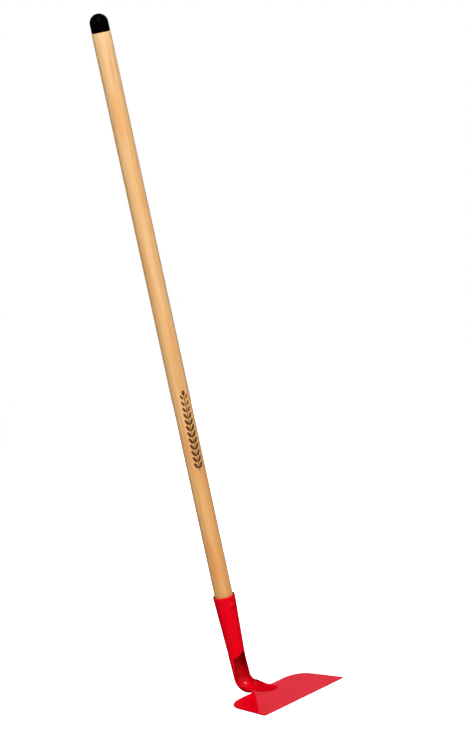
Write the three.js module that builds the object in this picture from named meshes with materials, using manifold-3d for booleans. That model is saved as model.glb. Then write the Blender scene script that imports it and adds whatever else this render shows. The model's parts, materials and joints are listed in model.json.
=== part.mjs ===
// A draw hoe: a wooden handle in the rolled socket of a one-piece steel head, a rivet and an end cap.
//
// Frame: millimetres, +Z up along the handle's axis, +X towards the cutting edge, and the origin on
// the axis where the upper hand grips. Inside the group, heights are counted along the axis from the
// point where it meets the mid-plane of the blade.

import * as THREE from 'three';
import { mergeVertices } from 'three/addons/utils/BufferGeometryUtils.js';
import Module from 'manifold-3d';

const { degToRad, lerp } = THREE.MathUtils;

// Driving dimensions.
const clearance = 0.3;              // kept between pieces that touch on the real hoe
const sheet = 2;                    // thickness of the head's steel

const handleRadius = 15.9;
const capRim = 1145;                // height where the wood's shoulder and the cap's rim meet
const capRadius = 15.5;
const capSkirt = 15.5;              // straight part of the cap below its dome
const capWall = 2;
const chuckEnd = 72;                // lowest point of the wood, inside the socket
const woodInSocketGap = 0.4;
const woodEdge = 1.5;               // chamfer at both ends of the wood
const gripBelowRim = 180;           // from the cap's rim down to the upper hand

const bladeLean = degToRad(2.8);    // the blade leans this much up towards its cutting edge
const bladeBack = 53.4;             // back edge, ahead of the handle's axis
const bladeFront = 175.8;           // cutting edge
const bladeHalfWidth = 87.6;        // at the cutting edge
const sideTaper = 0.066;            // half-width lost per millimetre towards the back
const frontCorner = 8;              // radius
const backCornerAcross = 34;        // how far the rounded back corner runs along the back edge
const backCornerAlong = 44;         // and along the side
const bevelLength = 6;              // ground bevel under the cutting edge
const edgeThickness = 0.9;

const socketMouth = 166.3;          // height of the socket's rim
const mouthRadius = 18.3;           // radii are to the middle of the sheet
const seamGap = 0.7;                // between the rolled socket's two edges
const seamTurn = degToRad(18);      // the seam is this far round from the front, towards +Y
const archTop = 63.5;               // the seam opens into an arch here
const archFoot = 52.5;
const archRadius = 13.8;
const archReach = degToRad(117);    // half-angle left of the tube at the foot of the arch

const neckLean = degToRad(6);       // the channel below the arch comes to lean this much forward
const channelRadius = 16.1;         // at the bend
const channelReach = degToRad(82);  // half-angle of the channel where the bend starts
const bendRadius = 27;              // of the spine, from the channel into the ramp
const rampRise = degToRad(8.6);     // of the ramp against the blade
const rampReach = degToRad(93);     // half-angle of the channel where the ramp starts
const neckHalfWidth = 18;           // where the neck runs into the blade
const notchFillet = 5;              // between the neck and the blade's back edge
const troughDepth = 4.8;            // of the trough at the blade's back edge
const troughEnd = 89;               // where it has run out into the flat blade
const troughBluntness = 4;          // power of its rounded end

const rivetHeight = 149.5;
const rivetRadius = 2.4;
const rivetHead = { radius: 4.8, rise: 1.7 };

// Resolution.
const columns = 32;                 // facets across the formed strip
const roundSides = 40;              // facets round a turned piece
const rivetSides = 24;              // facets round the rivet and its holes

const wasm = await Module();
wasm.setup();

// Booleans.

function toManifold(geometry) {
  const plain = geometry.index ? geometry.toNonIndexed() : geometry.clone();
  plain.deleteAttribute('normal');
  plain.deleteAttribute('uv');
  const merged = mergeVertices(plain);
  return new wasm.Manifold(new wasm.Mesh({
    numProp: 3,
    vertProperties: new Float32Array(merged.attributes.position.array),
    triVerts: new Uint32Array(merged.index.array),
  }));
}

function subtract(geometry, ...tools) {
  const solid = tools.reduce((left, tool) => left.subtract(toManifold(tool)), toManifold(geometry));
  const mesh = solid.getMesh();
  const cut = new THREE.BufferGeometry();
  cut.setAttribute('position', new THREE.BufferAttribute(new Float32Array(mesh.vertProperties), 3));
  cut.setIndex(new THREE.BufferAttribute(new Uint32Array(mesh.triVerts), 1));
  return cut;
}

// Directions and planes.

const bladeTilt = new THREE.Matrix4().makeRotationY(-bladeLean);
const bladeNormal = new THREE.Vector3(0, 0, 1).applyMatrix4(bladeTilt);

// A point given in the blade's own plane: x ahead of the axis, y across, z off the mid-plane.
function onBlade(x, y, z = 0) {
  return new THREE.Vector3(x, y, z).applyMatrix4(bladeTilt);
}

// A direction in the XZ plane, turned by angle from +X towards +Z.
function heading(angle) {
  return new THREE.Vector3(Math.cos(angle), 0, Math.sin(angle));
}

// Cross-sections of the formed strip. Each turns -1..1 across the strip into [y, rise off the spine].

// An arc from -reach to reach about the spine. A skew turns its open side away from the front.
function rolledSection(radius, reach, skew = 0) {
  return (share) => {
    const angle = share * reach - share ** 2 * skew;
    return [radius * Math.sin(angle), radius * (1 - Math.cos(angle))];
  };
}

function troughSection(edge, width, depth) {
  return (share) => {
    const y = edge * share;
    const out = Math.min(Math.abs(y) / Math.max(width, clearance), 1);
    return [y, depth * (1 - Math.cos(Math.PI * out)) / 2];
  };
}

function blendSection(first, second, blend) {
  return (share) => first(share).map((value, i) => lerp(value, second(share)[i], blend));
}

// Stations of the strip, from the socket's mouth down and forward. Each has a point on the spine,
// the inward direction there and a cross-section.

function socketRadius(height) {
  const share = (height - archTop) / (socketMouth - archTop);
  return lerp(archRadius, mouthRadius, share);
}

function socketStations() {
  const rows = 4;
  const stations = [];
  for (let i = 0; i < rows; i++) {
    const height = lerp(socketMouth, archTop, i / rows);
    const radius = socketRadius(height);
    stations.push({
      spine: new THREE.Vector3(-radius, 0, height),
      inward: heading(0),
      section: rolledSection(radius, Math.PI - seamGap / 2 / radius, seamTurn),
    });
  }
  return stations;
}

// The tube goes straight on down while its front opens into the arch.
function archStations() {
  const rows = 6;
  const closedReach = Math.PI - seamGap / 2 / archRadius;
  const stations = [];
  for (let i = 0; i < rows; i++) {
    const opened = i / rows;
    stations.push({
      spine: new THREE.Vector3(-archRadius, 0, lerp(archTop, archFoot, opened)),
      inward: heading(0),
      section: rolledSection(archRadius, lerp(closedReach, archReach, opened), seamTurn * (1 - opened)),
    });
  }
  return stations;
}

// The neck's spine: down from the arch, round the bend and along the ramp to the blade.
const neckTop = new THREE.Vector3(-archRadius, 0, archFoot);
const neckInward = heading(neckLean);
const rampAngle = bladeLean + rampRise;
const rampInward = heading(rampAngle + Math.PI / 2);
const rampFoot = onBlade(bladeBack, 0, -troughDepth);

// The bend's centre is its radius away from both straight runs.
const bendCentre = (() => {
  const offRamp = rampFoot.clone().addScaledVector(rampInward, bendRadius);
  const shortfall = bendRadius - offRamp.clone().sub(neckTop).dot(neckInward);
  return offRamp.addScaledVector(heading(rampAngle), shortfall / heading(rampAngle).dot(neckInward));
})();
const bendStart = bendCentre.clone().addScaledVector(neckInward, -bendRadius);
const rampStart = bendCentre.clone().addScaledVector(rampInward, -bendRadius);

// The open channel below the arch leans forward and spreads.
function neckStations() {
  const rows = 4;
  const stations = [];
  for (let i = 0; i < rows; i++) {
    const share = i / rows;
    const radius = lerp(archRadius, channelRadius, share ** 2);
    stations.push({
      spine: neckTop.clone().lerp(bendStart, share),
      inward: heading(neckLean * share),
      section: rolledSection(radius, lerp(archReach, channelReach, share)),
    });
  }
  return stations;
}

// The walls rise round the bend.
function bendStations() {
  const rows = 16;
  const stations = [];
  for (let i = 0; i < rows; i++) {
    const share = i / rows;
    const inward = heading(lerp(neckLean, rampAngle + Math.PI / 2, share));
    stations.push({
      spine: bendCentre.clone().addScaledVector(inward, -bendRadius),
      inward,
      section: rolledSection(channelRadius, lerp(channelReach, rampReach, share)),
    });
  }
  return stations;
}

// A station of the ramp, where the channel opens out. Its place is a distance ahead of the axis.
function rampStation(ahead, edge) {
  const blend = (ahead - rampStart.x) / (bladeBack - rampStart.x);
  return {
    spine: rampStart.clone().lerp(rampFoot, blend),
    inward: heading(Math.PI / 2 + lerp(rampAngle, bladeLean, blend)),
    section: blendSection(
      rolledSection(channelRadius, rampReach),
      troughSection(edge, neckHalfWidth, troughDepth),
      blend,
    ),
  };
}

function rampStations() {
  const rows = 7;
  const filletRows = 4;
  const filletStart = bladeBack - notchFillet;
  const stations = [];
  for (let i = 0; i < rows; i++) {
    stations.push(rampStation(lerp(rampStart.x, filletStart, i / rows), neckHalfWidth));
  }
  for (let i = 0; i < filletRows; i++) {
    const angle = Math.PI / 2 * i / filletRows;
    const edge = neckHalfWidth + notchFillet * (1 - Math.cos(angle));
    stations.push(rampStation(filletStart + notchFillet * Math.sin(angle), edge));
  }
  return stations;
}

function troughStations() {
  const rows = 7;
  const edge = neckHalfWidth + notchFillet;
  const stations = [];
  for (let i = 0; i <= rows; i++) {
    const share = i / rows;
    const depth = troughDepth * (1 - share);
    const width = neckHalfWidth * Math.sqrt(1 - share ** troughBluntness);
    stations.push({
      spine: onBlade(lerp(bladeBack, troughEnd, share), 0, -depth),
      inward: bladeNormal,
      section: troughSection(edge, width, depth),
    });
  }
  return stations;
}

function stationRow({ spine, inward, section }) {
  const row = [];
  for (let i = 0; i <= columns; i++) {
    const [y, rise] = section(2 * i / columns - 1);
    row.push(spine.clone().addScaledVector(inward, rise).setY(y));
  }
  return row;
}

// The middle surface of the formed strip, as triangles facing the inside of the channel.
function stripTriangles(rows) {
  const triangles = [];
  for (let i = 0; i + 1 < rows.length; i++) {
    for (let j = 0; j < columns; j++) {
      const [a, b] = [rows[i][j], rows[i][j + 1]];
      const [c, d] = [rows[i + 1][j], rows[i + 1][j + 1]];
      triangles.push(a, c, b, b, c, d);
    }
  }
  return triangles;
}

// The flat blade round the trough, as triangles facing up. The trough's rim is part of its outline.
function bladeTriangles(troughRows) {
  const side = (x) => bladeHalfWidth - sideTaper * (bladeFront - x);
  const cornerEnd = bladeBack + backCornerAlong;
  const halfOutline = new THREE.Shape();
  halfOutline.moveTo(bladeBack, side(bladeBack) - backCornerAcross);
  halfOutline.quadraticCurveTo(bladeBack, side(bladeBack), cornerEnd, side(cornerEnd));
  halfOutline.lineTo(bladeFront - frontCorner, side(bladeFront - frontCorner));
  halfOutline.quadraticCurveTo(bladeFront, side(bladeFront), bladeFront, side(bladeFront) - frontCorner);
  const curvePoints = 8;
  const left = halfOutline.getPoints(curvePoints);
  const right = left.map(({ x, y }) => new THREE.Vector2(x, -y)).reverse();

  const toBlade = new THREE.Matrix4().copy(bladeTilt).invert();
  const flat = (point) => new THREE.Vector2().copy(point.clone().applyMatrix4(toBlade));
  const rimRight = troughRows.map((row) => row[0]);
  const rimEnd = troughRows.at(-1).slice(1, -1);
  const rimLeft = troughRows.map((row) => row.at(-1)).reverse();
  const rim = [...rimRight, ...rimEnd, ...rimLeft];

  const outline = [...rim.map(flat), ...left, ...right];
  const points = [...rim, ...[...left, ...right].map(({ x, y }) => onBlade(x, y))];
  const triangles = THREE.ShapeUtils.triangulateShape(outline, []);
  return triangles.flat().map((i) => points[i]);
}

// Gives a middle surface its thickness: both faces, and a wall along every open edge.
function thicken(surface, normalAt, thickness) {
  const middle = surface.attributes.position;
  const count = middle.count;
  const positions = [];
  for (const side of [1, -1]) {
    for (let i = 0; i < count; i++) {
      const point = new THREE.Vector3().fromBufferAttribute(middle, i);
      point.addScaledVector(normalAt(i), side * thickness / 2);
      positions.push(point.x, point.y, point.z);
    }
  }
  const edges = new Map();
  const index = [];
  for (let t = 0; t < surface.index.count; t += 3) {
    const triangle = [0, 1, 2].map((corner) => surface.index.getX(t + corner));
    const [a, b, c] = triangle;
    index.push(a, b, c, c + count, b + count, a + count);
    triangle.forEach((from, corner) => {
      const to = triangle[(corner + 1) % 3];
      edges.set(`${from} ${to}`, [from, to]);
    });
  }
  for (const [from, to] of edges.values()) {
    if (!edges.has(`${to} ${from}`)) {
      index.push(from, from + count, to, to, from + count, to + count);
    }
  }
  const solid = new THREE.BufferGeometry();
  solid.setAttribute('position', new THREE.Float32BufferAttribute(positions, 3));
  solid.setIndex(index);
  return solid;
}

// Tools that cut the head and the handle.

function rivetHole() {
  const length = 4 * handleRadius;
  const radius = rivetRadius + clearance;
  const hole = new THREE.CylinderGeometry(radius, radius, length, rivetSides);
  return hole.rotateZ(Math.PI / 2).translate(0, 0, rivetHeight);
}

function edgeBevel() {
  const under = -sheet / 2;
  const beyond = 1;
  const slope = (sheet - edgeThickness) / bevelLength;
  const wedge = new THREE.Shape();
  wedge.moveTo(bladeFront - bevelLength, under);
  wedge.lineTo(bladeFront + beyond, under + slope * (bevelLength + beyond));
  wedge.lineTo(bladeFront + beyond, under - beyond);
  wedge.lineTo(bladeFront - bevelLength, under - beyond);
  const width = 2 * bladeHalfWidth + 2 * beyond;
  const tool = new THREE.ExtrudeGeometry(wedge, { depth: width, bevelEnabled: false });
  return tool.rotateX(Math.PI / 2).translate(0, width / 2, 0).applyMatrix4(bladeTilt);
}

// The pieces.

function headGeometry() {
  const troughRows = troughStations().map(stationRow);
  const formedRows = [
    ...socketStations(),
    ...archStations(),
    ...neckStations(),
    ...bendStations(),
    ...rampStations(),
  ].map(stationRow);
  const triangles = [
    ...stripTriangles([...formedRows, ...troughRows]),
    ...bladeTriangles(troughRows),
  ];
  const surface = mergeVertices(new THREE.BufferGeometry().setFromPoints(triangles));
  surface.computeVertexNormals();

  // The blade's own points all get its normal, so that it stays flat up to the trough's rim.
  const flatness = 1e-3;
  const flatFrom = onBlade(bladeBack, 0).x - clearance;
  const normalAt = (i) => {
    const point = new THREE.Vector3().fromBufferAttribute(surface.attributes.position, i);
    const flat = point.x > flatFrom && Math.abs(point.dot(bladeNormal)) < flatness;
    return flat ? bladeNormal : new THREE.Vector3().fromBufferAttribute(surface.attributes.normal, i);
  };
  return subtract(thicken(surface, normalAt, sheet), rivetHole(), edgeBevel());
}

function woodRadius(height) {
  return Math.min(handleRadius, socketRadius(height) - sheet / 2 - woodInSocketGap);
}

function handleGeometry() {
  const slope = (mouthRadius - archRadius) / (socketMouth - archTop);
  const taperEnd = chuckEnd + (handleRadius - woodRadius(chuckEnd)) / slope;
  const tenonRadius = capRadius - capWall - clearance;
  const tenonTop = capRim + capSkirt;
  const profile = [
    [0, chuckEnd],
    [woodRadius(chuckEnd) - woodEdge, chuckEnd],
    [woodRadius(chuckEnd + woodEdge), chuckEnd + woodEdge],
    [handleRadius, taperEnd],
    [handleRadius, capRim],
    [tenonRadius, capRim],
    [tenonRadius, tenonTop - woodEdge],
    [tenonRadius - woodEdge, tenonTop],
    [0, tenonTop],
  ];
  return subtract(turned(profile), rivetHole());
}

// A dome's quarter arc from its rim to the axis, as [radius, height] points.
function domeArc(radius, height) {
  const steps = 8;
  return Array.from({ length: steps + 1 }, (_, i) => {
    const angle = Math.PI / 2 * i / steps;
    return [i < steps ? radius * Math.cos(angle) : 0, height + radius * Math.sin(angle)];
  });
}

function capGeometry() {
  const rim = capRim + clearance;
  const domeStart = capRim + capSkirt;
  const inner = capRadius - capWall;
  const inside = [[inner, rim], ...domeArc(inner, domeStart + clearance)].reverse();
  return turned([...inside, [capRadius, rim], ...domeArc(capRadius, domeStart)]);
}

function rivetGeometry() {
  const seat = socketRadius(rivetHeight) + sheet / 2 + clearance;
  const head = (side) => {
    const steps = 4;
    return Array.from({ length: steps + 1 }, (_, i) => {
      const angle = Math.PI / 2 * i / steps;
      const radius = i < steps ? rivetHead.radius * Math.cos(angle) : 0;
      return [radius, side * (seat + rivetHead.rise * Math.sin(angle))];
    });
  };
  const profile = [
    ...head(-1).reverse(),
    [rivetRadius, -seat],
    [rivetRadius, seat],
    ...head(1),
  ];
  return turned(profile, rivetSides).rotateY(Math.PI / 2).translate(0, 0, rivetHeight);
}

// A solid of revolution about Z from [radius, height] points that go up the outside.
function turned(profile, sides = roundSides) {
  const points = profile.map(([radius, height]) => new THREE.Vector2(radius, height));
  return new THREE.LatheGeometry(points, sides).rotateX(Math.PI / 2);
}

const redEnamel = new THREE.MeshStandardMaterial({ color: 0xd8101c, roughness: 0.25, metalness: 0 });
const ashWood = new THREE.MeshStandardMaterial({ color: 0xe6b276, roughness: 0.45, metalness: 0 });
const blackPlastic = new THREE.MeshStandardMaterial({ color: 0x0c0c10, roughness: 0.5, metalness: 0 });

function piece(name, geometry, material) {
  const mesh = new THREE.Mesh(geometry, material);
  mesh.name = name;
  return mesh;
}

const group = new THREE.Group();
group.add(piece('hoe_head', headGeometry(), redEnamel));
group.add(piece('handle', handleGeometry(), ashWood));
group.add(piece('socket_rivet', rivetGeometry(), redEnamel.clone()));
group.add(piece('end_cap', capGeometry(), blackPlastic));
group.position.z = gripBelowRim - capRim;

export default group;
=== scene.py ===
"""The looks of a draw hoe: a red enamelled steel head, a lacquered ash handle, a rivet and a black cap.

Everything is in metres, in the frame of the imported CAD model: +Z along the handle, +X towards the
cutting edge. Each piece is a finer mesh of the same shape as the CAD node that it stands for.
"""

import json
import math

import bpy
import numpy as np
from mathutils import Matrix, Vector


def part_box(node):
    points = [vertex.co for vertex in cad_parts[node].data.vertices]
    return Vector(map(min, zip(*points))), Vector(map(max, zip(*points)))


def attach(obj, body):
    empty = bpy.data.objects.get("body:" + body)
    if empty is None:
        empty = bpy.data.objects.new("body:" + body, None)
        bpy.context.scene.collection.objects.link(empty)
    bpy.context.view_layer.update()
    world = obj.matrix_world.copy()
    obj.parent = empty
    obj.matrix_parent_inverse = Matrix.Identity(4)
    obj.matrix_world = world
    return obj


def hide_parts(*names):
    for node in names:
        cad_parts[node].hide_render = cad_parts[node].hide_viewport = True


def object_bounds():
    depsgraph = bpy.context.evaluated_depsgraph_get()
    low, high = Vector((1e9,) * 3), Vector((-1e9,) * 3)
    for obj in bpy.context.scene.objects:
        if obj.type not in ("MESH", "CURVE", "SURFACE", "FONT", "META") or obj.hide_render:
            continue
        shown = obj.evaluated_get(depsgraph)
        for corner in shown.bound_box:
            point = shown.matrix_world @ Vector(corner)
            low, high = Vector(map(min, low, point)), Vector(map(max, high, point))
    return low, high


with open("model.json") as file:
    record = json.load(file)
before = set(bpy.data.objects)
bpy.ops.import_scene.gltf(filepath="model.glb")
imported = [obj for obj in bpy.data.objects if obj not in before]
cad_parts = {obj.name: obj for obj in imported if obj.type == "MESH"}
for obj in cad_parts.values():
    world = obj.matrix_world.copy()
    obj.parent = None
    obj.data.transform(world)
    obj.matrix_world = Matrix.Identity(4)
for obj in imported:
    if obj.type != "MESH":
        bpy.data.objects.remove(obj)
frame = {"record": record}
cad_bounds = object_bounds()

# Sizes and places read from the frame.

wood_low, wood_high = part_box("handle")
cap_low, cap_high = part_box("end_cap")
rivet_low, rivet_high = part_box("socket_rivet")

SHEET = 0.0020
sole = next(mount for mount in frame["record"]["mounts"] if mount["name"] == "blade_sole")
BLADE_LEAN = math.atan2(sole["axis"][0], -sole["axis"][2])
BLADE_NORMAL = -np.array(sole["axis"])
BLADE_FORWARD = np.array([BLADE_NORMAL[2], 0, -BLADE_NORMAL[0]])
BLADE_POINT = (np.dot(sole["pos_m"], BLADE_NORMAL) + SHEET / 2) / BLADE_NORMAL[2]  # on the handle's axis

CLEARANCE = 0.0003
HANDLE_RADIUS = wood_high.y
CAP_RADIUS = cap_high.y
CAP_RIM = cap_low.z
DOME_START = cap_high.z - CAP_RADIUS
CAP_WALL = 0.002
RIVET_HEIGHT = (rivet_low.z + rivet_high.z) / 2
RIVET_HEAD_RADIUS = (rivet_high.z - rivet_low.z) / 2
RIVET_HEAD_RISE = 0.0017
RIVET_RADIUS = 0.0024

# The formed sheet. Heights are counted from the point where the blade's mid-plane meets the axis.

BLADE_BACK = 0.0534
BLADE_FRONT = 0.1758
BLADE_HALF_WIDTH = 0.0876
SIDE_TAPER = 0.066
FRONT_CORNER = 0.008
BACK_CORNER_ACROSS = 0.034
BACK_CORNER_ALONG = 0.044
BEVEL_LENGTH = 0.006
EDGE_THICKNESS = 0.0009

SOCKET_MOUTH = 0.1663
MOUTH_RADIUS = 0.0183
SEAM_GAP = 0.0007
SEAM_TURN = math.radians(18)
ARCH_TOP = 0.0635
ARCH_FOOT = 0.0525
ARCH_RADIUS = 0.0138
ARCH_REACH = math.radians(117)

NECK_LEAN = math.radians(6)
CHANNEL_RADIUS = 0.0161
CHANNEL_REACH = math.radians(82)
RAMP_REACH = math.radians(93)
BEND_RADIUS = 0.027
RAMP_RISE = math.radians(8.6)
NECK_HALF_WIDTH = 0.018
NOTCH_FILLET = 0.005
TROUGH_DEPTH = 0.0048
TROUGH_END = 0.089
TROUGH_BLUNTNESS = 4

RIM_ROUNDING = 0.0009        # of every cut edge of the sheet
RIM_STEPS = np.array([0.0, 0.1, 0.35, 1.0]) * RIM_ROUNDING   # distances of the rows next to a cut edge
WOOD_IN_SOCKET_GAP = 0.0004
WOOD_EDGE = 0.0015           # chamfer at both ends of the wood
SHOULDER_ROUNDING = 0.0007   # of the wood's shoulder under the cap
CAP_ROUNDING = 0.0005        # of both edges of the cap's rim
MARK_FOOT = 0.394            # height of the burned mark's lower end

# Resolution of the meshes.

STRIP_COLUMNS = 40           # on each side of the formed strip's spine
BLADE_COLUMNS = 32           # on each side of the trough
SOCKET_ROWS = 20
ARCH_ROWS = 24
NECK_ROWS = 24
BEND_ROWS = 48
RAMP_ROWS = 24
FILLET_ROWS = 12
BACK_CORNER_ROWS = 32
SIDE_ROWS = 24
FRONT_CORNER_ROWS = 14
ROUND_SIDES = 96             # of the handle and the cap
RIVET_SIDES = 48             # of the rivet and its hole
CHUCK_RINGS = 12
SHAFT_RINGS = 40
SHOULDER_STEPS = 5
BORE_STEPS = 20
DOME_STEPS = 28
RIM_ARC_STEPS = 4            # of each edge of the cap's rim
RIVET_HEAD_STEPS = 12

FLATNESS = 1e-6              # a point this close to the blade's mid-plane is on it
SMOOTH_BELOW = math.radians(40)

# The studio. Directions are azimuth and elevation in degrees.

MIDDLE = (cad_bounds[0] + cad_bounds[1]) / 2
KEY_DIRECTION = (-27, 56)
KEY_DISTANCE = 14
FLOOR_BOUNCE = (0.72, 0.72, 0.725)
ROOM_LIGHT = (0.06, 0.06, 0.065)
REFLECTED_GREY = (0.20, 0.19, 0.24)
BLACK = (0.0, 0.0, 0.0)
WHITE = (1.0, 1.0, 1.0)
FLAG_AZIMUTH = math.radians(158)      # of a dark flag that stands behind the hoe
FLAG_HALF_ANGLE = math.radians(10.9)
FLAG_SOFTNESS = 0.004                 # half the angle over which its edge fades


# Mesh helpers.

def lerp(a, b, share):
    return a + (b - a) * share


def new_object(name, points, faces):
    mesh = bpy.data.meshes.new(name)
    mesh.from_pydata([tuple(point) for point in points], [], [tuple(map(int, face)) for face in faces])
    mesh.validate()
    mesh.shade_smooth()
    mesh.set_sharp_from_angle(angle=SMOOTH_BELOW)
    piece = bpy.data.objects.new(name, mesh)
    bpy.context.scene.collection.objects.link(piece)
    return piece


def grid_quads(index):
    """Quads of a grid of vertex numbers, facing the side where rows run forward and columns left."""
    corners = (index[:-1, :-1], index[1:, :-1], index[1:, 1:], index[:-1, 1:])
    return np.stack([corner.ravel() for corner in corners], axis=1)


def turned(profile, sides):
    """Points and faces of a solid of revolution about Z. The profile starts and ends on the axis."""
    inner = np.array(profile[1:-1])
    turn = np.arange(sides) * 2 * math.pi / sides
    rings = np.stack([
        np.outer(inner[:, 0], np.cos(turn)),
        np.outer(inner[:, 0], np.sin(turn)),
        np.repeat(inner[:, 1:], sides, axis=1),
    ], axis=2)
    count = rings.shape[0] * sides
    points = [*rings.reshape(-1, 3), (0, 0, profile[0][1]), (0, 0, profile[-1][1])]
    index = np.arange(count).reshape(-1, sides)
    index = np.concatenate([index, index[:, :1]], axis=1)
    faces = [face[::-1] for face in grid_quads(index)]
    for a, b in zip(index[0], index[0][1:]):
        faces.append((b, a, count))
    for a, b in zip(index[-1], index[-1][1:]):
        faces.append((a, b, count + 1))
    return points, faces


def arc(centre, radius, start, end, steps):
    """Points of an arc in the (radius, height) plane, with angles in degrees from the radius."""
    angles = np.radians(np.linspace(start, end, steps + 1))
    return [(centre[0] + radius * math.cos(a), centre[1] + radius * math.sin(a)) for a in angles]


RIVET_PLACE = Matrix.Translation((0, 0, RIVET_HEIGHT)) @ Matrix.Rotation(math.pi / 2, 4, "Y")


def drill_rivet_hole(piece):
    """Cuts the rivet's hole through a piece, along X."""
    radius = RIVET_RADIUS + CLEARANCE
    end = 2 * HANDLE_RADIUS
    profile = [(0, -end), (radius, -end), (radius, end), (0, end)]
    tool = new_object("hole_tool", *turned(profile, RIVET_SIDES))
    tool.data.transform(RIVET_PLACE)
    cut = piece.modifiers.new("rivet_hole", "BOOLEAN")
    cut.operation = "DIFFERENCE"
    cut.solver = "EXACT"
    cut.object = tool
    evaluated = piece.evaluated_get(bpy.context.evaluated_depsgraph_get())
    piece.data = bpy.data.meshes.new_from_object(evaluated)
    piece.modifiers.clear()
    bpy.data.objects.remove(tool)


# The steel head: a middle surface laid out in rows across the strip, then given its thickness.

def across_shares():
    """Places across the strip from -1 to 1, closer together at its edges."""
    usual_half_length = 0.03
    least_step = 0.01
    near_edge = 1 - RIM_STEPS / usual_half_length
    even = np.linspace(0, 1, STRIP_COLUMNS + 1)[1:-1]
    half = np.sort(np.concatenate([even[even < near_edge[-1] - least_step], near_edge]))
    return np.concatenate([-half[::-1], [0.0], half])


SHARES = across_shares()


def heading(angle):
    return np.array([math.cos(angle), 0, math.sin(angle)])


def on_blade(x, y=0.0, z=0.0):
    return x * BLADE_FORWARD + np.array([0, y, 0]) + z * BLADE_NORMAL


def rolled_section(radius, reach, skew=0.0):
    """An arc from -reach to reach about the spine. A skew turns its open side away from the front."""
    angle = SHARES * reach - SHARES ** 2 * skew
    return radius * np.sin(angle), radius * (1 - np.cos(angle))


def trough_section(edge, width, depth):
    y = edge * SHARES
    out = np.minimum(np.abs(y) / max(width, CLEARANCE), 1)
    return y, depth * (1 - np.cos(math.pi * out)) / 2


def blend_section(first, second, blend):
    return tuple(a + (b - a) * blend for a, b in zip(first, second))


def row(spine, inward, section):
    """One row of the strip: a cross-section stood on the spine."""
    y, rise = section
    points = spine + np.outer(rise, inward)
    points[:, 1] = y
    return points


def socket_radius(height):
    return lerp(ARCH_RADIUS, MOUTH_RADIUS, (height - ARCH_TOP) / (SOCKET_MOUTH - ARCH_TOP))


def socket_rows():
    even = np.linspace(SOCKET_MOUTH, ARCH_TOP, SOCKET_ROWS)[1:-1]
    rows = []
    for height in [*(SOCKET_MOUTH - RIM_STEPS), *even]:
        radius = socket_radius(height)
        section = rolled_section(radius, math.pi - SEAM_GAP / 2 / radius, SEAM_TURN)
        rows.append(row(np.array([-radius, 0, height]), heading(0), section))
    return rows


NECK_TOP = np.array([-ARCH_RADIUS, 0, ARCH_FOOT])
RAMP_ANGLE = BLADE_LEAN + RAMP_RISE
RAMP_INWARD = heading(RAMP_ANGLE + math.pi / 2)
RAMP_FOOT = on_blade(BLADE_BACK, z=-TROUGH_DEPTH)


def bend_centre():
    """The bend's centre is its radius away from the straight neck and from the ramp."""
    off_ramp = RAMP_FOOT + BEND_RADIUS * RAMP_INWARD
    shortfall = BEND_RADIUS - np.dot(off_ramp - NECK_TOP, heading(NECK_LEAN))
    return off_ramp + heading(RAMP_ANGLE) * shortfall / np.dot(heading(RAMP_ANGLE), heading(NECK_LEAN))


BEND_CENTRE = bend_centre()
BEND_START = BEND_CENTRE - BEND_RADIUS * heading(NECK_LEAN)
RAMP_START = BEND_CENTRE - BEND_RADIUS * RAMP_INWARD


def arch_rows():
    """The tube goes straight on down while its front opens into the arch."""
    closed_reach = math.pi - SEAM_GAP / 2 / ARCH_RADIUS
    rows = []
    for opened in np.linspace(0, 1, ARCH_ROWS, endpoint=False):
        height = lerp(ARCH_TOP, ARCH_FOOT, opened)
        reach = lerp(closed_reach, ARCH_REACH, opened)
        section = rolled_section(ARCH_RADIUS, reach, SEAM_TURN * (1 - opened))
        rows.append(row(np.array([-ARCH_RADIUS, 0, height]), heading(0), section))
    return rows


def neck_rows():
    """The open channel below the arch leans forward and spreads."""
    rows = []
    for share in np.linspace(0, 1, NECK_ROWS, endpoint=False):
        radius = lerp(ARCH_RADIUS, CHANNEL_RADIUS, share ** 2)
        section = rolled_section(radius, lerp(ARCH_REACH, CHANNEL_REACH, share))
        rows.append(row(lerp(NECK_TOP, BEND_START, share), heading(NECK_LEAN * share), section))
    return rows


def bend_rows():
    """The walls rise round the bend."""
    rows = []
    for share in np.linspace(0, 1, BEND_ROWS, endpoint=False):
        inward = heading(lerp(NECK_LEAN, RAMP_ANGLE + math.pi / 2, share))
        section = rolled_section(CHANNEL_RADIUS, lerp(CHANNEL_REACH, RAMP_REACH, share))
        rows.append(row(BEND_CENTRE - BEND_RADIUS * inward, inward, section))
    return rows


def ramp_row(ahead, edge):
    """A row where the channel opens out into the trough, at a distance ahead of the axis."""
    blend = (ahead - RAMP_START[0]) / (BLADE_BACK - RAMP_START[0])
    trough = trough_section(edge, NECK_HALF_WIDTH, TROUGH_DEPTH)
    inward = heading(math.pi / 2 + lerp(RAMP_ANGLE, BLADE_LEAN, blend))
    section = blend_section(rolled_section(CHANNEL_RADIUS, RAMP_REACH), trough, blend)
    return row(lerp(RAMP_START, RAMP_FOOT, blend), inward, section)


def ramp_rows():
    fillet_start = BLADE_BACK - NOTCH_FILLET
    straight = np.linspace(RAMP_START[0], fillet_start, RAMP_ROWS)[:-1]
    rows = [ramp_row(ahead, NECK_HALF_WIDTH) for ahead in straight]
    for angle in np.linspace(0, math.pi / 2, FILLET_ROWS, endpoint=False):
        edge = NECK_HALF_WIDTH + NOTCH_FILLET * (1 - math.cos(angle))
        rows.append(ramp_row(fillet_start + NOTCH_FILLET * math.sin(angle), edge))
    return rows


def blade_side(x):
    return BLADE_HALF_WIDTH - SIDE_TAPER * (BLADE_FRONT - x)


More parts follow.
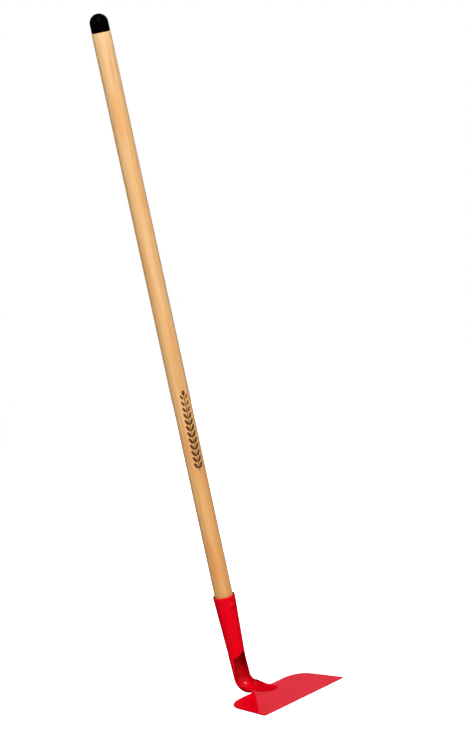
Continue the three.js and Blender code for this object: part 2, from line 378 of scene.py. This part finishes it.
def blade_outline():
    """Places (x, half-width) along one side of the blade: back corner, straight side, front corner."""
    corner_end = BLADE_BACK + BACK_CORNER_ALONG
    straight_end = BLADE_FRONT - FRONT_CORNER
    places = []
    for u in np.linspace(0, 1, BACK_CORNER_ROWS, endpoint=False):
        x = BLADE_BACK + BACK_CORNER_ALONG * u ** 2
        cut_in = (1 - u) ** 2 * BACK_CORNER_ACROSS
        y = blade_side(BLADE_BACK) - cut_in + SIDE_TAPER * BACK_CORNER_ALONG * u ** 2
        places.append((x, y))
    for x in np.linspace(corner_end, straight_end, SIDE_ROWS, endpoint=False):
        places.append((x, blade_side(x)))
    bevel_start = 1 - math.sqrt(BEVEL_LENGTH / FRONT_CORNER)
    for u in [0, *np.linspace(bevel_start, 1, FRONT_CORNER_ROWS)]:
        x = BLADE_FRONT - FRONT_CORNER * (1 - u) ** 2
        cut_in = SIDE_TAPER * FRONT_CORNER * (1 - u) ** 2 + FRONT_CORNER * u ** 2
        places.append((x, blade_side(BLADE_FRONT) - cut_in))
    return places


def blade_rows():
    """Rows from side to side of the blade, and the number of columns on each side of its trough."""
    edge = NECK_HALF_WIDTH + NOTCH_FILLET
    near_edge = 1 - RIM_STEPS[::-1] / BLADE_HALF_WIDTH
    out = np.concatenate([np.linspace(0, 1, BLADE_COLUMNS)[1:-1], near_edge])
    rows = []
    for x, half_width in blade_outline():
        run_out = min((x - BLADE_BACK) / (TROUGH_END - BLADE_BACK), 1)
        depth = TROUGH_DEPTH * (1 - run_out)
        width = NECK_HALF_WIDTH * math.sqrt(1 - run_out ** TROUGH_BLUNTNESS)
        middle = row(on_blade(x, z=-depth), BLADE_NORMAL, trough_section(edge, width, depth))
        left = np.array([on_blade(x, lerp(edge, half_width, share)) for share in out])
        right = left[::-1] * [1, -1, 1]
        rows.append(np.concatenate([right, middle, left]))
    return rows, len(out)


def vertex_numbers(grid, first=0):
    rows, columns = grid.shape[:2]
    return first + np.arange(rows * columns).reshape(rows, columns)


def middle_surface():
    """Points and quads of the head's middle surface. Its faces look into the channel and up."""
    formed = np.array([*socket_rows(), *arch_rows(), *neck_rows(), *bend_rows(), *ramp_rows()])
    blade, side_columns = blade_rows()
    blade = np.array(blade)
    points = np.concatenate([formed.reshape(-1, 3), blade.reshape(-1, 3)])
    formed_index = vertex_numbers(formed)
    blade_index = vertex_numbers(blade, first=formed_index.size)
    joint = np.stack([formed_index[-1], blade_index[0, side_columns:-side_columns]])
    quads = np.concatenate([grid_quads(index) for index in (formed_index, joint, blade_index)])
    return points, quads


def open_edges(quads):
    """Directed edges with a face on one side only."""
    sides = np.concatenate([quads[:, [i, (i + 1) % 4]] for i in range(4)])
    known = set(map(tuple, sides))
    return np.array([side for side in sides if (side[1], side[0]) not in known])


def edge_distance(points, edges):
    """Each point's distance from the nearest open edge."""
    nearest = np.full(len(points), np.inf)
    for a, b in edges:
        start = points[a]
        run = points[b] - start
        off = points - start
        share = np.clip(off @ run / (run @ run), 0, 1)
        nearest = np.minimum(nearest, np.linalg.norm(off - np.outer(share, run), axis=1))
    return nearest


def on_blade_plane(points):
    return np.abs(points @ BLADE_NORMAL) < FLATNESS


def surface_normals(points, quads):
    """The middle surface's normals. The flat blade's points all get the blade's own."""
    mesh = bpy.data.meshes.new("middle")
    mesh.from_pydata([tuple(p) for p in points], [], [tuple(map(int, q)) for q in quads])
    normals = np.zeros(len(points) * 3, np.float32)
    mesh.vertices.foreach_get("normal", normals)
    bpy.data.meshes.remove(mesh)
    normals = normals.reshape(-1, 3).astype(float)
    normals[(points[:, 0] > BLADE_BACK - CLEARANCE) & on_blade_plane(points)] = BLADE_NORMAL
    return normals


def make_head():
    points, quads = middle_surface()
    normals = surface_normals(points, quads)
    edges = open_edges(quads)

    # The ground bevel thins the sheet from below. The rounding of a cut edge thins it from both sides.
    ahead = points @ BLADE_FORWARD
    ground = np.clip((ahead - BLADE_FRONT) / BEVEL_LENGTH + 1, 0, 1) * on_blade_plane(points)
    ground = ground * (SHEET - EDGE_THICKNESS) / 2
    half = SHEET / 2 - ground
    most_of_half = 0.8
    rounding = np.minimum(RIM_ROUNDING, half * most_of_half)
    inside = rounding - np.minimum(edge_distance(points, edges), rounding)
    half = half - rounding + np.sqrt(rounding ** 2 - inside ** 2)
    above = points + normals * (ground + half)[:, None]
    below = points + normals * (ground - half)[:, None]

    count = len(points)
    walls = [(b, a, a + count, b + count) for a, b in edges]
    faces = [*quads, *(quads[:, ::-1] + count), *walls]
    solid = np.concatenate([above, below]) + [0, 0, BLADE_POINT]
    head = new_object("steel_head", solid, faces)
    drill_rivet_hole(head)
    return head


# The turned pieces.

def wood_radius(height):
    return min(HANDLE_RADIUS, socket_radius(height - BLADE_POINT) - SHEET / 2 - WOOD_IN_SOCKET_GAP)


def make_handle():
    slope = (MOUTH_RADIUS - ARCH_RADIUS) / (SOCKET_MOUTH - ARCH_TOP)
    chuck_end = wood_low.z
    taper_end = chuck_end + (HANDLE_RADIUS - wood_radius(chuck_end)) / slope
    shoulder = CAP_RIM - CLEARANCE
    tenon = CAP_RADIUS - CAP_WALL - CLEARANCE
    round_centre = (HANDLE_RADIUS - SHOULDER_ROUNDING, shoulder - SHOULDER_ROUNDING)
    profile = [
        (0, chuck_end),
        (wood_radius(chuck_end) - WOOD_EDGE, chuck_end),
        (wood_radius(chuck_end + WOOD_EDGE), chuck_end + WOOD_EDGE),
        *[(wood_radius(z), z) for z in np.linspace(chuck_end + WOOD_EDGE, taper_end, CHUCK_RINGS)[1:]],
        *[(HANDLE_RADIUS, z) for z in np.linspace(taper_end, round_centre[1], SHAFT_RINGS)[1:]],
        *arc(round_centre, SHOULDER_ROUNDING, 0, 90, SHOULDER_STEPS)[1:],
        (tenon, shoulder),
        (tenon, wood_high.z - WOOD_EDGE),
        (tenon - WOOD_EDGE, wood_high.z),
        (0, wood_high.z),
    ]
    handle = new_object("ash_handle", *turned(profile, ROUND_SIDES))
    drill_rivet_hole(handle)
    return handle


def make_cap():
    inner = CAP_RADIUS - CAP_WALL
    outer_rim = (CAP_RADIUS - CAP_ROUNDING, CAP_RIM + CAP_ROUNDING)
    inner_rim = (inner + CAP_ROUNDING, CAP_RIM + CAP_ROUNDING)
    profile = [
        (0, DOME_START + CLEARANCE + inner),
        *arc((0, DOME_START + CLEARANCE), inner, 90, 0, BORE_STEPS)[1:],
        *arc(inner_rim, CAP_ROUNDING, 180, 270, RIM_ARC_STEPS),
        *arc(outer_rim, CAP_ROUNDING, 270, 360, RIM_ARC_STEPS),
        *arc((0, DOME_START), CAP_RADIUS, 0, 90, DOME_STEPS)[:-1],
        (0, cap_high.z),
    ]
    return new_object("domed_cap", *turned(profile, ROUND_SIDES))


def make_rivet():
    seat = rivet_high.x - RIVET_HEAD_RISE
    angles = np.radians(np.linspace(0, 90, RIVET_HEAD_STEPS, endpoint=False))
    dome = [(RIVET_HEAD_RADIUS * math.cos(a), seat + RIVET_HEAD_RISE * math.sin(a)) for a in angles]
    upper = [(RIVET_RADIUS, seat), *dome, (0, rivet_high.x)]
    lower = [(radius, -height) for radius, height in reversed(upper)]
    rivet = new_object("domed_rivet", *turned([*lower, *upper], RIVET_SIDES))
    rivet.data.transform(RIVET_PLACE)
    return rivet


# Materials.

class Field:
    """A value or colour over a surface: a shader node's output, with arithmetic on it."""

    def __init__(self, tree, socket):
        self.tree = tree
        self.socket = socket

    def math(self, operation, *others):
        node = self.tree.nodes.new("ShaderNodeMath")
        node.operation = operation
        for slot, value in zip(node.inputs, (self, *others)):
            feed(slot, value)
        return Field(self.tree, node.outputs[0])

    def __add__(self, other):
        return self.math("ADD", other)

    def __sub__(self, other):
        return self.math("SUBTRACT", other)

    def __mul__(self, other):
        return self.math("MULTIPLY", other)

    def __truediv__(self, other):
        return self.math("DIVIDE", other)

    def __abs__(self):
        return self.math("ABSOLUTE")

    def scaled(self, x, y, z):
        node = self.tree.nodes.new("ShaderNodeVectorMath")
        node.operation = "MULTIPLY"
        feed(node.inputs[0], self)
        feed(node.inputs[1], (x, y, z))
        return Field(self.tree, node.outputs[0])

    def split(self):
        node = self.tree.nodes.new("ShaderNodeSeparateXYZ")
        feed(node.inputs[0], self)
        return [Field(self.tree, output) for output in node.outputs]

    def noise(self, scale, detail=2.0):
        node = self.tree.nodes.new("ShaderNodeTexNoise")
        feed(node.inputs["Vector"], self)
        node.inputs["Scale"].default_value = scale
        node.inputs["Detail"].default_value = detail
        return Field(self.tree, node.outputs["Fac"])

    def spread(self, low, high, to_low=0.0, to_high=1.0):
        """Maps low..high to to_low..to_high with soft ends, and holds the ends beyond them."""
        node = self.tree.nodes.new("ShaderNodeMapRange")
        node.interpolation_type = "SMOOTHSTEP"
        for slot, value in zip(node.inputs, (self, low, high, to_low, to_high)):
            feed(slot, value)
        return Field(self.tree, node.outputs[0])

    def blend(self, first, second):
        """Goes from the first colour to the second as this value goes from 0 to 1."""
        node = self.tree.nodes.new("ShaderNodeMix")
        node.data_type = "RGBA"
        feed(node.inputs["Factor"], self)
        feed(node.inputs[6], first)
        feed(node.inputs[7], second)
        return Field(self.tree, node.outputs[2])

    def bump(self, distance, strength):
        node = self.tree.nodes.new("ShaderNodeBump")
        node.inputs["Distance"].default_value = distance
        node.inputs["Strength"].default_value = strength
        feed(node.inputs["Height"], self)
        return Field(self.tree, node.outputs["Normal"])


def feed(slot, value):
    """Sets a shader input to a number or colour, or links a field to it."""
    if isinstance(value, Field):
        value.tree.links.new(value.socket, slot)
    elif hasattr(value, "__len__") and slot.type == "RGBA":
        slot.default_value = (*value, 1.0)
    else:
        slot.default_value = value


def new_material(name):
    """A material with an empty Principled shader, and the place on the object as a field."""
    material = bpy.data.materials.new(name)
    material.use_nodes = True
    tree = material.node_tree
    shader = tree.nodes["Principled BSDF"]
    place = tree.nodes.new("ShaderNodeTexCoord").outputs["Object"]
    return material, shader, Field(tree, place)


def surface_normal(tree):
    """The x, y and z of the surface's normal."""
    return Field(tree, tree.nodes.new("ShaderNodeNewGeometry").outputs["Normal"]).split()


def painted_recess_shade(place):
    """Painted shade on the head's inner faces: 0 outside, most up inside the socket."""
    normal_x, normal_y, normal_z = surface_normal(place.tree)
    x, y, z = place.split()
    height = z - BLADE_POINT

    # The head's inner faces look at a line that goes up the axis from the bend's centre.
    centre_x = height.spread(BEND_CENTRE[2], ARCH_TOP, BEND_CENTRE[0], 0.0)
    below_centre = (height * -1.0 + BEND_CENTRE[2]).math("MAXIMUM", 0.0)
    facing = (centre_x - x) * normal_x - y * normal_y + below_centre * normal_z
    behind_blade = x.spread(0.034, 0.056, 1.0, 0.0)
    in_trough = x.spread(0.045, 0.090, 1.0, 0.0) * abs(y).spread(0.010, 0.018, 1.0, 0.0)
    inside = facing.spread(0.006, 0.010) * behind_blade.math("MAXIMUM", in_trough)

    # A little shade is painted all over the inside, more in the bend and on the neck's walls, most in
    # the tube.
    bend = height.spread(-0.002, 0.012)
    neck = height.spread(0.012, 0.030)
    arch = height.spread(0.045, 0.070)
    walls = abs(y).spread(0.003, 0.017)
    return inside * (bend * 0.14 + neck * (walls * 0.6 - 0.40) + arch * 0.50 + 0.28)


def edge_shade_mask(place):
    """1 on the blade's cut edges and 0 on its faces: where shade is painted on the edges."""
    normal_x, _, normal_z = surface_normal(place.tree)
    flatness = abs(normal_x * BLADE_NORMAL[0] + normal_z * BLADE_NORMAL[2])
    ahead_of_neck = place.split()[0].spread(0.054, 0.058)
    return flatness.spread(0.4, 0.9, 1.0, 0.0) * ahead_of_neck


def red_enamel():
    fresh, faded = (0.88, 0.0, 0.010), (0.84, 0.0, 0.009)
    # Painted shade for the blade's sideways-facing cut edges.
    painted_edge_shade = (0.12, 0.0, 0.004)
    # Painted shade: a near-black red that darkens the channel and the socket's inside.
    painted_shade_red = (0.02, 0.0, 0.0)
    peel_depth = 0.00002

    material, shader, place = new_material("red_enamel")
    patches = place.noise(18, 3)
    peel = place.noise(420, 2)
    shade_inside = painted_recess_shade(place)
    coat = patches.spread(0.35, 0.65).blend(fresh, faded)
    # Painted shade: the blade's cut edges are darkened towards a dark red.
    coat = (edge_shade_mask(place) * 0.7).blend(coat, painted_edge_shade)
    # The colour goes towards painted shade inside the channel and the socket, and the roughness rises a
    # little there.
    feed(shader.inputs["Base Color"], shade_inside.blend(coat, painted_shade_red))
    feed(shader.inputs["Roughness"], patches.spread(0.3, 0.7, 0.07, 0.13) + shade_inside * 0.08)
    feed(shader.inputs["Normal"], peel.bump(peel_depth, 0.5))
    return material


def sprig_mark(place):
    """A burned sprig up the handle: 1 on its stem and leaves, 0 elsewhere."""
    pairs = 12
    pitch = 0.011
    tip_length = 0.011
    face = math.radians(-13)
    leaf_middle, leaf_half_width, leaf_half_height = 0.0044, 0.0040, 0.0042
    stem_half_width = 0.0007

    x, y, z = place.split()
    across = abs(y.math("ARCTAN2", x) - face) * HANDLE_RADIUS
    up = z - (BLADE_POINT + MARK_FOOT)
    stem_end = pairs * pitch
    stem = across.math("LESS_THAN", stem_half_width) * up.math("GREATER_THAN", 0.0)
    stem = stem * up.math("LESS_THAN", stem_end)

    # Leaves slant up and out, so they are laid out in heights that are sheared along with them.
    slanted = up - across
    taper = up.spread(stem_end * 0.6, stem_end, 1.0, 0.7)
    step = abs(slanted.math("FLOORED_MODULO", pitch) - pitch / 2) / (taper * leaf_half_height)
    out = ((across - leaf_middle) / (taper * leaf_half_width)).math("POWER", 2.0)
    leaves = (step + out).math("LESS_THAN", 1.0) * slanted.math("GREATER_THAN", 0.0)
    leaves = leaves * slanted.math("LESS_THAN", stem_end)

    tip_up = ((up - (stem_end + tip_length / 2)) / (tip_length / 2)).math("POWER", 2.0)
    tip = (across / (leaf_half_height * 0.7) + tip_up).math("LESS_THAN", 1.0)
    return leaves.math("MAXIMUM", stem).math("MAXIMUM", tip)


def ash_rings(place):
    """The dark late wood of the growth rings, about a pith that lies outside the handle."""
    pith_at = (-0.031, 0.024)
    ring_width = 0.0034
    x, y, _ = place.split()
    wander = place.scaled(1, 1, 0.12).noise(90, 3) - 0.5
    from_x = x - pith_at[0] + wander * 0.004
    from_y = y - pith_at[1] + wander * 0.003
    from_pith = (from_x * from_x + from_y * from_y).math("SQRT")
    ring = (from_pith / ring_width).math("FRACT")
    return ring.spread(0.55, 1.0) * ring.spread(0.94, 1.0, 1.0, 0.0)


def lacquered_ash():
    # Each tone is given at the socket and, paler, at the cap.
    golden = (0.79, 0.375, 0.100), (0.92, 0.54, 0.215)
    pale = (0.87, 0.455, 0.150), (0.98, 0.65, 0.345)
    orange = (0.79, 0.320, 0.085), (0.92, 0.445, 0.165)
    grain_brown = (0.50, 0.22, 0.06)
    burned_brown = (0.080, 0.024, 0.003)
    grain_depth = 0.00006

    material, shader, place = new_material("lacquered_ash")
    _, _, z = place.split()
    late = ash_rings(place)
    fibre = place.scaled(1, 1, 0.015).noise(1500, 2)
    pores = place.scaled(1, 1, 0.03).noise(2600, 1).spread(0.62, 0.72)

    # Soft lengthwise streaks and warmer patches.
    height = z.spread(BLADE_POINT - 0.1, CAP_RIM + 0.2)
    streaks = place.scaled(1, 1, 0.02).noise(150, 2).spread(0.36, 0.64)
    patches = place.scaled(1, 1, 0.15).noise(55, 2).spread(0.48, 0.68)
    wood = (streaks * 0.85).blend(height.blend(*golden), height.blend(*pale))
    wood = (patches * 0.75).blend(wood, height.blend(*orange))
    grain = (late * 0.2 + fibre.spread(0.3, 0.7) * 0.12 + pores * 0.14).math("MINIMUM", 1.0)
    wood = grain.blend(wood, grain_brown)
    wood = (sprig_mark(place) * fibre.spread(0.2, 0.6, 0.85, 0.98)).blend(wood, burned_brown)
    feed(shader.inputs["Base Color"], wood)
    feed(shader.inputs["Roughness"], fibre.spread(0.3, 0.7, 0.38, 0.48))
    feed(shader.inputs["Normal"], (fibre * 0.4 - pores - late * 0.5).bump(grain_depth, 0.4))
    return material


def black_plastic():
    clean, scuffed = (0.0004, 0.0004, 0.0005), (0.001, 0.001, 0.0012)
    grain_depth = 0.00002

    material, shader, place = new_material("black_plastic")
    grain = place.noise(2200, 2)
    scuff = place.noise(120, 4).spread(0.4, 0.75)
    feed(shader.inputs["Base Color"], scuff.blend(clean, scuffed))
    feed(shader.inputs["Roughness"], scuff.spread(0, 1, 0.34, 0.44))
    shader.inputs["Specular IOR Level"].default_value = 0.03
    feed(shader.inputs["Normal"], grain.bump(grain_depth, 0.4))
    return material


# The studio.

def direction(azimuth, elevation):
    turn, rise = math.radians(azimuth), math.radians(elevation)
    flat = math.cos(rise)
    return Vector((flat * math.cos(turn), flat * math.sin(turn), math.sin(rise)))


def softbox(name, size, power):
    """A square area light on the key side, aimed at the hoe's middle. The camera doesn't see it."""
    lamp = bpy.data.lights.new(name, "AREA")
    lamp.shape = "SQUARE"
    lamp.size = size
    lamp.energy = power
    light = bpy.data.objects.new(name, lamp)
    bpy.context.scene.collection.objects.link(light)
    light.location = MIDDLE + direction(*KEY_DIRECTION) * KEY_DISTANCE
    light.rotation_euler = (MIDDLE - light.location).to_track_quat("-Z", "Y").to_euler()
    light.visible_camera = False
    return light


def make_world():
    """White to the camera, grey with a dark flag in it to glossy faces, floor bounce to matte ones."""
    world = bpy.data.worlds.new("studio")
    bpy.context.scene.world = world
    world.use_nodes = True
    tree = world.node_tree
    background = tree.nodes["Background"]
    path = tree.nodes.new("ShaderNodeLightPath")
    camera = Field(tree, path.outputs["Is Camera Ray"])
    gloss = Field(tree, path.outputs["Is Glossy Ray"])
    place = Field(tree, tree.nodes.new("ShaderNodeTexCoord").outputs["Generated"])
    x, y, up = place.split()
    towards_flag = x * math.cos(FLAG_AZIMUTH) + y * math.sin(FLAG_AZIMUTH)
    flag_cosine = towards_flag / (x * x + y * y).math("SQRT")
    flag_from = math.cos(FLAG_HALF_ANGLE + FLAG_SOFTNESS)
    flag_to = math.cos(FLAG_HALF_ANGLE - FLAG_SOFTNESS)
    beside_flag = flag_cosine.spread(flag_from, flag_to, 1, 0)
    above_horizon = up.spread(0.0, 0.18)
    reflected = (above_horizon * beside_flag).blend(BLACK, REFLECTED_GREY)
    ambient = up.spread(-0.2, 0.2).blend(FLOOR_BOUNCE, ROOM_LIGHT)
    unseen = gloss.blend(ambient, reflected)
    feed(background.inputs["Color"], camera.blend(unseen, WHITE))


def make_floor():
    """A round pale floor below the hoe, nearly as white as the world."""
    radius = 4.0
    below = 0.30
    height = cad_bounds[0].z - below
    rings = [radius * share for share in (0.25, 0.5, 0.75, 1.0)]
    turn = np.linspace(0, 2 * math.pi, ROUND_SIDES, endpoint=False)
    points = [(MIDDLE.x, MIDDLE.y, height)]
    for ring in rings:
        points += [(MIDDLE.x + ring * math.cos(a), MIDDLE.y + ring * math.sin(a), height) for a in turn]
    index = 1 + np.arange(len(rings) * len(turn)).reshape(len(rings), -1)
    index = np.concatenate([index, index[:, :1]], axis=1)
    faces = [*grid_quads(index), *[(0, a, b) for a, b in zip(index[0], index[0][1:])]]
    floor = new_object("floor", points, faces)
    floor.visible_glossy = False
    floor.visible_diffuse = False

    material, shader, place = new_material("pale_floor")
    tone = place.noise(6, 2).spread(0.3, 0.7)
    pale = tone.blend((0.93, 0.93, 0.93), (0.95, 0.95, 0.95))
    feed(shader.inputs["Base Color"], pale)
    shader.inputs["Roughness"].default_value = 0.9
    shader.inputs["Specular IOR Level"].default_value = 0.0
    feed(shader.inputs["Emission Color"], pale)
    shader.inputs["Emission Strength"].default_value = 1.0
    floor.data.materials.append(material)


def make_camera():
    target = Vector((0.1697, -0.0004, BLADE_POINT + 0.5859))
    azimuth, elevation, distance, roll = -35.451, 11.042, 3.4007, -11.995
    lens = bpy.data.cameras.new("camera")
    lens.lens = 103.7
    lens.sensor_width = 36
    camera = bpy.data.objects.new("camera", lens)
    bpy.context.scene.collection.objects.link(camera)
    camera.location = target + direction(azimuth, elevation) * distance
    look = (target - camera.location).to_track_quat("-Z", "Y").to_matrix()
    camera.rotation_euler = (look @ Matrix.Rotation(math.radians(roll), 3, "Z")).to_euler()
    bpy.context.scene.camera = camera


def make_lights():
    """A large box lights the matte surfaces. A smaller one is there for its reflections only."""
    key = softbox("key_box", size=5.5, power=2480)
    key.visible_glossy = False
    gloss = softbox("gloss_box", size=3.0, power=1000)
    gloss.visible_diffuse = False


def add_piece(piece, material, node):
    piece.data.materials.clear()
    piece.data.materials.append(material)
    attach(piece, "root")
    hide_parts(node)


enamel = red_enamel()
add_piece(make_head(), enamel, "hoe_head")
add_piece(make_rivet(), enamel, "socket_rivet")
add_piece(make_handle(), lacquered_ash(), "handle")
add_piece(make_cap(), black_plastic(), "end_cap")

make_world()
make_floor()
make_lights()
make_camera()
bpy.context.scene.view_settings.view_transform = "Standard"
